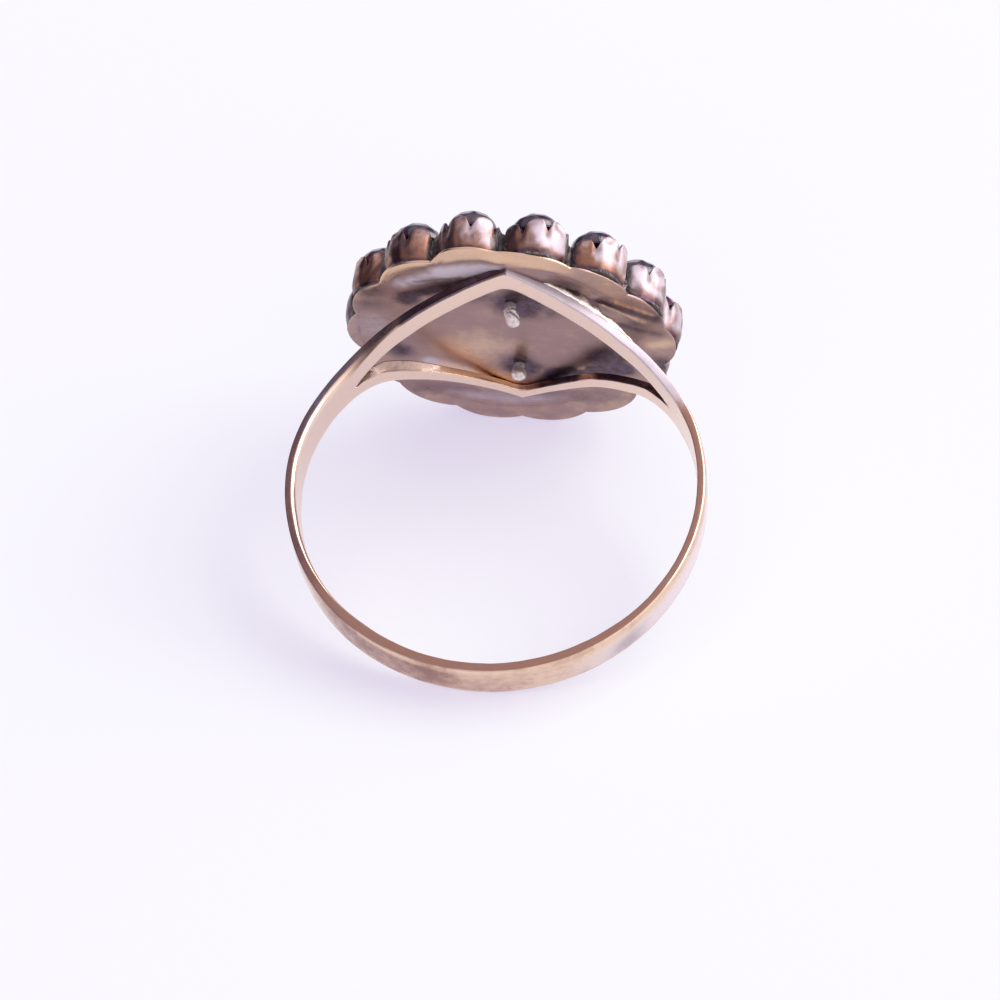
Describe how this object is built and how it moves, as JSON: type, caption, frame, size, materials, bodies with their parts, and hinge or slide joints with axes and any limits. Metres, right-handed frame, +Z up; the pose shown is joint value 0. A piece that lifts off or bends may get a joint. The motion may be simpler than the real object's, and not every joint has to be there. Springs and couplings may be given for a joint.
{
  "type": "garnet cluster ring",
  "caption": "Finger ring with a round, tiered cluster of garnets in claw collets on a scalloped plate and a split shank, lying on its side.",
  "frame": {"origin": "on the surface that the ring lies on, under the middle of its bounding box", "axes": "+Z up, +Y from the bottom of the band towards the head, +X across the finger opening; the finger axis leans 21.1 degrees from +Z towards -Y"},
  "size_m": [0.018, 0.0206, 0.014],
  "materials": {
    "gold": "worn rose gilding, polished, tarnished brown in the recesses",
    "tombak": "copper-brown tombak, dark tarnish between the collets",
    "rivet": "pale worn metal",
    "garnet": "very dark red, polished facets"
  },
  "bodies": {
    "root": {"mount": "gold", "upper_tier": "tombak", "rivet_upper": "rivet", "rivet_lower": "rivet", "centre_garnet": "garnet", "outer_garnet_1": "garnet", "outer_garnet_2": "garnet", "outer_garnet_3": "garnet", "outer_garnet_4": "garnet", "outer_garnet_5": "garnet", "outer_garnet_6": "garnet", "outer_garnet_7": "garnet", "outer_garnet_8": "garnet", "outer_garnet_9": "garnet", "outer_garnet_10": "garnet", "outer_garnet_11": "garnet", "outer_garnet_12": "garnet", "outer_garnet_13": "garnet", "outer_garnet_14": "garnet", "inner_garnet_1": "garnet", "inner_garnet_2": "garnet", "inner_garnet_3": "garnet", "inner_garnet_4": "garnet", "inner_garnet_5": "garnet", "inner_garnet_6": "garnet", "inner_garnet_7": "garnet", "inner_garnet_8": "garnet"}
  },
  "joints": []
}
